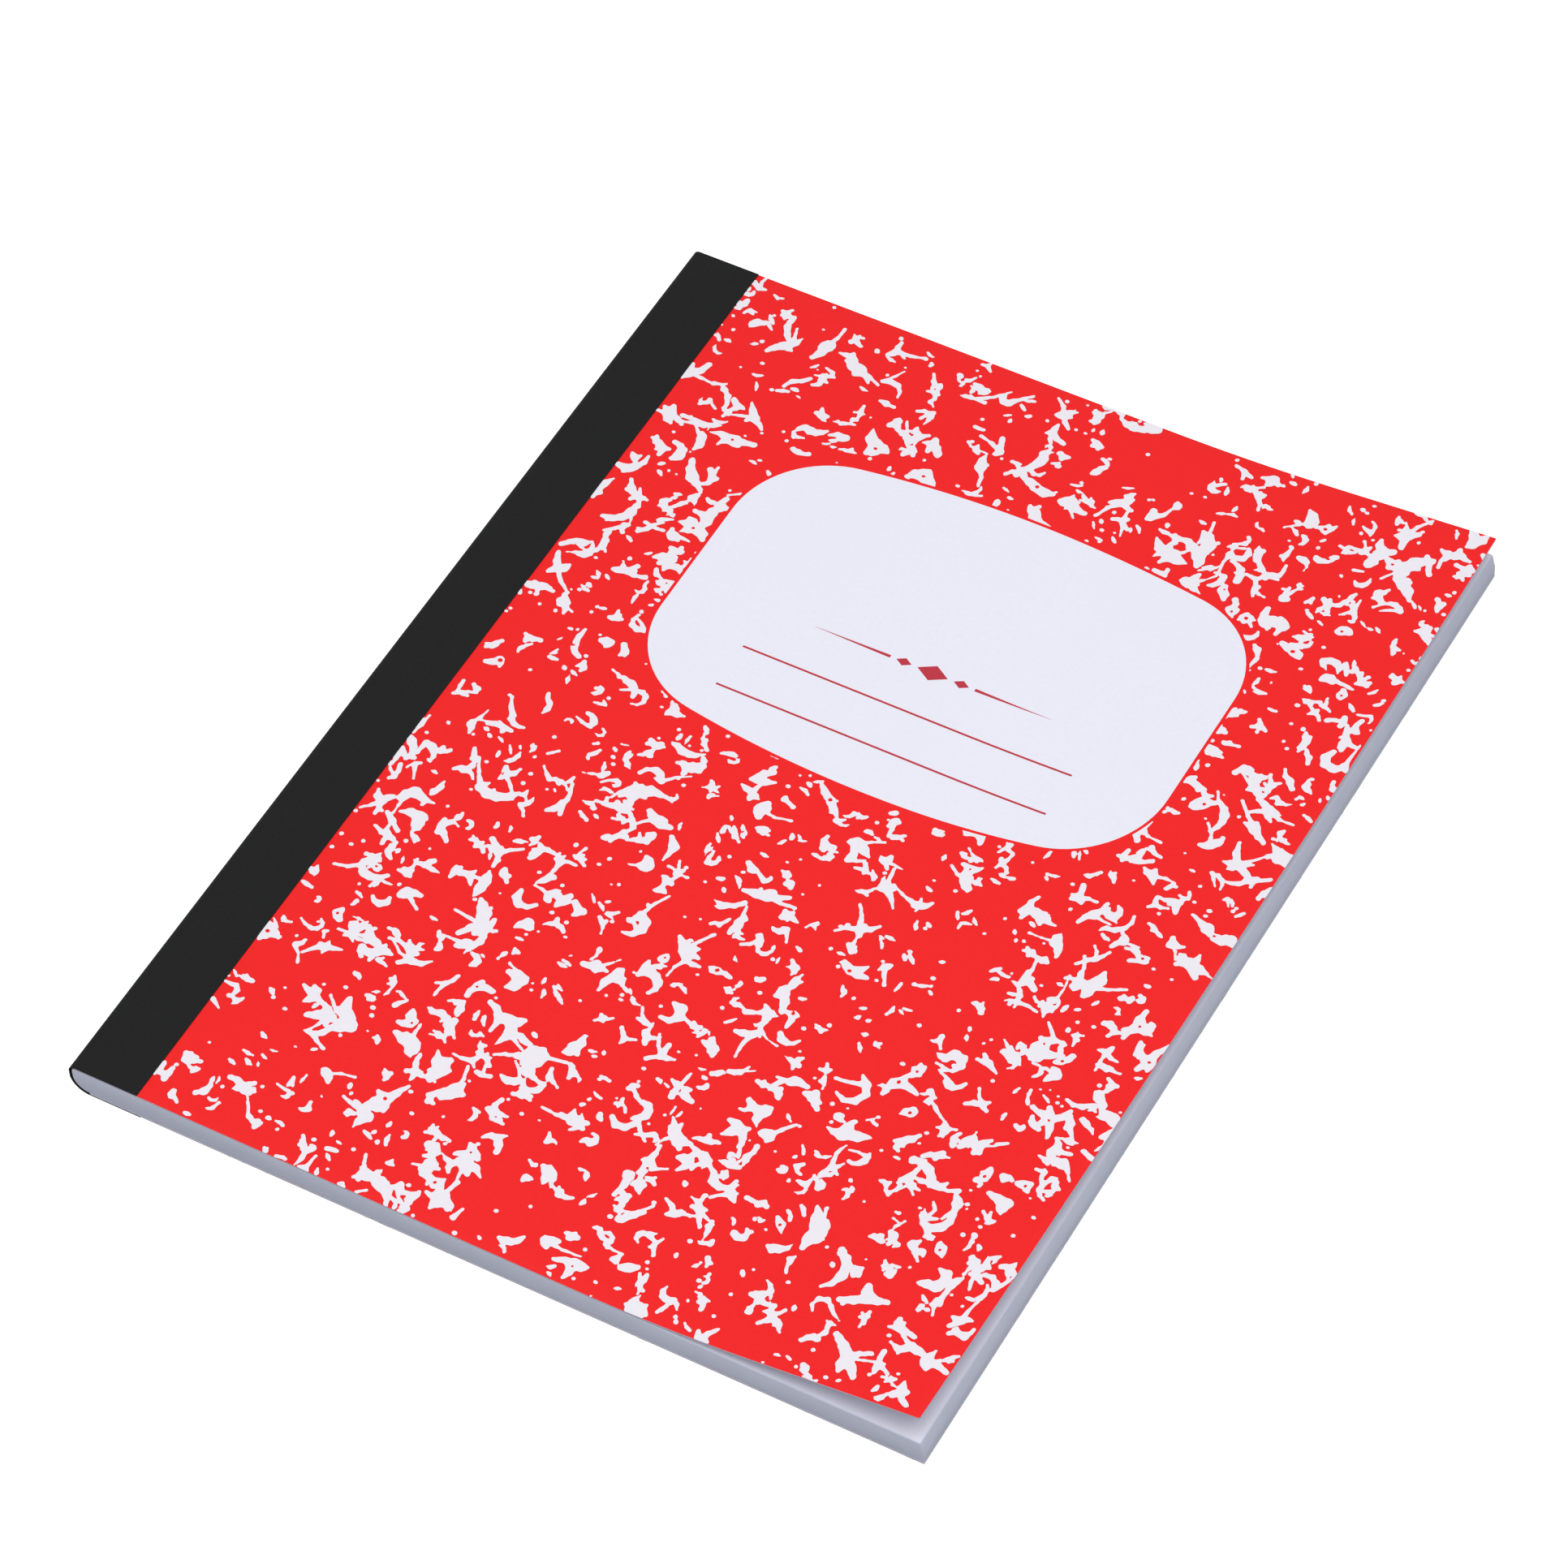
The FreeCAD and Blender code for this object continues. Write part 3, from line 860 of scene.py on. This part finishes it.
class NOTEBOOK_OT_front_cover(bpy.types.Operator):
    """Models the front cover as one card that lies flat and then bows up to its fore edge"""
    bl_idname = "notebook.front_cover"
    bl_label = "Front cover"

    def execute(self, context):
        card = card_sheet("front_card", (FRONT_LOW.x, TAIL_Y), (FORE_EDGE_X, HEAD_Y), True)
        place_corners(card, on_front_card(corners_of(card)))
        smooth(card)
        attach(card, "front_cover")
        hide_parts("front_cover")
        return {"FINISHED"}


class NOTEBOOK_OT_front_marbling(bpy.types.Operator):
    """Prints the front cover's marbling, as thin white fields round the name panel"""
    bl_idname = "notebook.front_marbling"
    bl_label = "Front marbling"

    def execute(self, context):
        marbling = marbled_print("front_marbling_print", 0, True)
        print_on_front(marbling, CARD_THICKNESS)
        paint(marbling, "White of the marbling")
        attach(marbling, "front_cover")
        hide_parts("front_marbling")
        return {"FINISHED"}


class NOTEBOOK_OT_name_panel(bpy.types.Operator):
    """Prints the white name panel with its ornament and two writing lines"""
    bl_idname = "notebook.name_panel"
    bl_label = "Name panel"

    def execute(self, context):
        s = sizes()
        panel = filled_outlines("name_panel", [label_outline()])
        self.place(panel, CARD_THICKNESS, "White of the cover card", "label_panel", "cover_white")
        ink_level = CARD_THICKNESS + s.print_thickness
        rules = filled_outlines("writing_lines", [
            self.bar(s.first_rule_drop, s.rule_length, s.rule_width),
            self.bar(s.second_rule_drop, s.rule_length, s.rule_width)])
        ink = "Dark red printing ink"
        self.place(rules, ink_level, ink, "label_rules", "label_ink")
        ornament = filled_outlines("panel_ornament", self.ornament())
        self.place(ornament, ink_level, ink, "label_ornament", "label_ink")
        return {"FINISHED"}

    def place(self, piece, level, finish, node, slot):
        """Lays a flat shape on the front card at that level."""
        for x in bend_lines():
            edit_whole(piece, bpy.ops.mesh.bisect, plane_co=(x, 0, 0), plane_no=(1, 0, 0))
        print_on_front(piece, level)
        paint(piece, finish)
        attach(piece, "front_cover")
        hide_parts(node)

    def bar(self, drop, long, wide):
        """The corners of a bar, that far below the panel's centre."""
        centre_x, centre_y = label_centre()
        corners = np.array([(-1, -1), (1, -1), (1, 1), (-1, 1)]) * (long / 2, wide / 2)
        return corners + (centre_x, centre_y - drop)

    def ornament(self):
        """A lozenge between two smaller ones, with a tapering line to each side."""
        s = sizes()
        centre = np.array(label_centre()) - (0, s.ornament_drop)
        lozenge = np.array([(-1, 0), (0, -1), (1, 0), (0, 1)]) * (s.lozenge_width / 2, s.lozenge_height / 2)
        gap = s.lozenge_width / 5
        small_offset = 0.75 * s.lozenge_width + gap
        taper_start = s.lozenge_width + 2 * gap
        taper = np.array([
            (taper_start, -s.lozenge_height / 12),
            (s.ornament_width / 2, 0),
            (taper_start, s.lozenge_height / 12)])
        loops = [lozenge + centre]
        for side in (1, -1):
            loops.append(lozenge / 2 + centre + (side * small_offset, 0))
            loops.append(taper * (side, 1) + centre)
        return loops


class NOTEBOOK_OT_back_cover(bpy.types.Operator):
    """Models the flat back cover, with its marbling facing down"""
    bl_idname = "notebook.back_cover"
    bl_label = "Back cover"

    def execute(self, context):
        card = card_sheet("back_card", (BACK_LOW.x, TAIL_Y), (FORE_EDGE_X, HEAD_Y), False)
        card.location.z = BACK_LOW.z
        settle(card)
        smooth(card)
        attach(card, "back_cover")
        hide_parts("back_cover")
        marbling = marbled_print("back_marbling_print", BACK_SEED_STEP, False)
        finish_with(marbling, "SOLIDIFY", thickness=sizes().print_thickness, offset=1)
        points = corners_of(marbling)
        points[:, 2] += BACK_LOW.z - points[:, 2].max()
        place_corners(marbling, points)
        paint(marbling, "White of the marbling")
        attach(marbling, "back_cover")
        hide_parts("back_marbling")
        return {"FINISHED"}


class NOTEBOOK_OT_page_block(bpy.types.Operator):
    """Models the pages as one trimmed block with a rounded fold at the spine"""
    bl_idname = "notebook.page_block"
    bl_label = "Page block"

    def execute(self, context):
        s = sizes()
        wall = CARD_THICKNESS + TAPE_THICKNESS
        bpy.ops.object.select_all(action="DESELECT")
        low = BLOCK_LOW + Vector((s.fold_gap, 0, 0))
        bpy.ops.mesh.primitive_cube_add(size=1, location=(low + BLOCK_HIGH) / 2)
        block = new_piece("pages")
        block.scale = BLOCK_HIGH - low
        settle(block)
        self.round_spine_edge(block, low.x, BLOCK_HIGH.z, s.front_corner - wall)
        self.round_spine_edge(block, low.x, BLOCK_LOW.z, s.back_corner - wall)
        self.lean_fore_edge(block)
        soften_edges(block, PAGE_BEVEL, 3, 40)
        smooth(block)
        paint(block, "Cut white writing paper")
        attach(block, "page_block")
        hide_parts("page_block")
        return {"FINISHED"}

    def round_spine_edge(self, block, x, z, radius):
        """Rounds one long edge of the fold."""
        pick_only(block)
        points = corners_of(block)
        at_edge = (np.abs(points[:, 0] - x) < NEAR) & (np.abs(points[:, 2] - z) < NEAR)
        bpy.ops.object.mode_set(mode="EDIT")
        bpy.ops.mesh.select_all(action="DESELECT")
        bpy.ops.object.mode_set(mode="OBJECT")
        for edge in block.data.edges:
            edge.select = all(at_edge[index] for index in edge.vertices)
        bpy.ops.object.mode_set(mode="EDIT")
        bpy.ops.mesh.select_mode(type="EDGE")
        bpy.ops.mesh.bevel(offset=radius, segments=10)
        bpy.ops.object.mode_set(mode="OBJECT")

    def lean_fore_edge(self, block):
        """Lets the upper sheets lie back a little at the fore edge."""
        level = BLOCK_LOW.z + LEAN_START * (BLOCK_HIGH.z - BLOCK_LOW.z)
        edit_whole(block, bpy.ops.mesh.bisect, plane_co=(0, 0, level), plane_no=(0, 0, 1))
        points = corners_of(block)
        top = (points[:, 0] > BLOCK_HIGH.x - NEAR) & (points[:, 2] > BLOCK_HIGH.z - NEAR)
        points[top, 0] -= sizes().fore_edge_lean
        place_corners(block, points)


class NOTEBOOK_OT_spine_tape(bpy.types.Operator):
    """Wraps the spine tape in two halves, each bent round one long edge of the spine"""
    bl_idname = "notebook.spine_tape"
    bl_label = "Spine tape"

    def execute(self, context):
        s = sizes()
        middle = (TAPE_LOW.z + TAPE_HIGH.z) / 2
        for name, cover, radius, side in (
                ("front_tape", "front_cover", s.front_corner, 1),
                ("back_tape", "back_cover", s.back_corner, -1)):
            half = self.strip(name, radius, side, middle)
            paint(half, "Black embossed book tape")
            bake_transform(half)
            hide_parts("spine_tape")
        return {"FINISHED"}

    def strip(self, name, radius, side, middle):
        """Half of the tape: up the spine from its middle, round the edge and out over the cover."""
        upright = (TAPE_HIGH.z - TAPE_LOW.z) / 2 - radius
        bend = radius * math.pi / 2
        flap = TAPE_HIGH.x - SPINE_X - radius
        long = upright + bend + flap
        half = flat_sheet(name, (0, TAPE_LOW.y), (long, TAPE_HIGH.y), *TAPE_GRID)
        points = corners_of(half)
        run = points[:, 0].copy()
        angle = np.clip((run - upright) / radius, 0, math.pi / 2)
        beyond = np.maximum(run - upright - bend, 0)
        x = SPINE_X + radius * (1 - np.cos(angle)) + beyond
        z = np.minimum(run, upright) + radius * np.sin(angle)
        place_corners(half, np.stack([x, points[:, 1], middle + side * z], 1))
        inward = -1 if self.faces_out(half) else 1
        finish_with(half, "SOLIDIFY", thickness=TAPE_THICKNESS, offset=inward)
        edit_whole(half, bpy.ops.mesh.normals_make_consistent, inside=False)
        smooth(half, 50)
        return half

    def faces_out(self, half):
        """Whether the strip's faces look away from the pages."""
        face = half.data.polygons[0]
        away = face.center - (BLOCK_LOW + BLOCK_HIGH) / 2
        return face.normal.dot(Vector((away.x, 0, away.z))) > 0


class NOTEBOOK_OT_sewing(bpy.types.Operator):
    """Gives the sewing through the fold its cotton finish"""
    bl_idname = "notebook.sewing"
    bl_label = "Sewing"

    def execute(self, context):
        paint(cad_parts["binding_thread"], "Unbleached cotton thread")
        return {"FINISHED"}


class NOTEBOOK_OT_stage(bpy.types.Operator):
    """Sets the white floor, the white surround, the lamp and the camera"""
    bl_idname = "notebook.stage"
    bl_label = "Stage"

    def execute(self, context):
        self.floor()
        self.sky()
        self.lamp("high_lamp", **LAMP)
        self.camera(**CAMERA)
        context.scene.view_settings.view_transform = "Standard"
        return {"FINISHED"}

    def seen(self, add):
        """One to the camera, in mirrors and through glass, and nothing to light on its way."""
        rays = add("LightPath").outputs
        other = add("Math", [rays["Is Glossy Ray"], rays["Is Transmission Ray"]], operation="MAXIMUM")
        return add("Math", [rays["Is Camera Ray"], other], operation="MAXIMUM")

    def floor(self):
        """A matt floor that keeps the shadow, with a glow of its own that makes it white to look at."""
        bpy.ops.object.select_all(action="DESELECT")
        bpy.ops.mesh.primitive_plane_add(size=FLOOR_SIZE, location=(0, 0, 0))
        floor = new_piece("floor")
        material = bpy.data.materials.new("White studio floor")
        add = emptied(material)
        white = tuple(colours().floor)
        matt = add("BsdfPrincipled", {
            "Base Color": shaded(white, FLOOR_SHARE), "Roughness": 1, "Specular IOR Level": 0})
        strength = add("Math", [self.seen(add), FLOOR_GLOW], operation="MULTIPLY")
        both = add("AddShader", [matt, add("Emission", [white, strength])])
        add("OutputMaterial", {"Surface": both})
        floor.data.materials.append(material)

    def sky(self):
        """An even white surround: it lights the notebook softly from all sides and shows as white."""
        world = bpy.data.worlds.new("White surround")
        bpy.context.scene.world = world
        add = emptied(world)
        strength = add("MapRange", [self.seen(add), 0, 1, SKY_LIGHT, 1])
        add("OutputWorld", {"Surface": add("Background", [SKY_COLOUR, strength])})

    def lamp(self, name, place, size, power):
        """A soft square lamp that looks at the notebook."""
        bpy.ops.object.light_add(type="AREA", location=place)
        lamp = bpy.context.active_object
        lamp.name = name
        lamp.data.size = size
        lamp.data.energy = power
        lamp.rotation_euler = (-Vector(place)).to_track_quat("-Z", "Y").to_euler()

    def camera(self, azimuth, elevation, roll, lens, target, distance):
        """A camera that looks at the target from that side, height and distance."""
        bpy.ops.object.camera_add()
        camera = bpy.context.active_object
        camera.name = "photo_camera"
        a, e, r = (math.radians(v) for v in (azimuth, elevation, roll))
        back = Vector((math.sin(a) * math.cos(e), -math.cos(a) * math.cos(e), math.sin(e)))
        level = Vector((math.cos(a), math.sin(a), 0))
        up = back.cross(level)
        right = level * math.cos(r) + up * math.sin(r)
        turn = Matrix((right, back.cross(right), back)).transposed()
        camera.matrix_world = Matrix.Translation(target + back * distance) @ turn.to_4x4()
        camera.data.lens = lens
        camera.data.sensor_width = SENSOR_MM
        camera.data.clip_end = 50
        bpy.context.scene.camera = camera


class NOTEBOOK_PT_panel(bpy.types.Panel):
    bl_idname = "NOTEBOOK_PT_panel"
    bl_label = "Notebook"
    bl_space_type = "VIEW_3D"
    bl_region_type = "UI"
    bl_category = "Notebook"

    def draw(self, context):
        for group in SETTINGS:
            settings = getattr(context.scene, group)
            box = self.layout.box()
            for name in settings.bl_rna.properties.keys():
                if name not in ("rna_type", "name"):
                    box.prop(settings, name)
        for operator in OPERATORS:
            self.layout.operator(operator.bl_idname)


SETTINGS = {
    "notebook_sizes": NotebookSizes,
    "notebook_marbling": NotebookMarbling,
    "notebook_colours": NotebookColours,
}
OPERATORS = (
    NOTEBOOK_OT_front_cover,
    NOTEBOOK_OT_front_marbling,
    NOTEBOOK_OT_name_panel,
    NOTEBOOK_OT_back_cover,
    NOTEBOOK_OT_page_block,
    NOTEBOOK_OT_spine_tape,
    NOTEBOOK_OT_sewing,
    NOTEBOOK_OT_stage,
)


def register():
    for cls in (*SETTINGS.values(), *OPERATORS, NOTEBOOK_PT_panel):
        bpy.utils.register_class(cls)
    for name, cls in SETTINGS.items():
        setattr(bpy.types.Scene, name, PointerProperty(type=cls))


def unregister():
    for name in SETTINGS:
        delattr(bpy.types.Scene, name)
    for cls in (NOTEBOOK_PT_panel, *reversed(OPERATORS), *reversed(SETTINGS.values())):
        bpy.utils.unregister_class(cls)


def main():
    register()
    bpy.ops.notebook.front_cover()
    bpy.ops.notebook.front_marbling()
    bpy.ops.notebook.name_panel()
    bpy.ops.notebook.back_cover()
    bpy.ops.notebook.page_block()
    bpy.ops.notebook.spine_tape()
    bpy.ops.notebook.sewing()
    bpy.ops.notebook.stage()


if __name__ == "__main__":
    main()
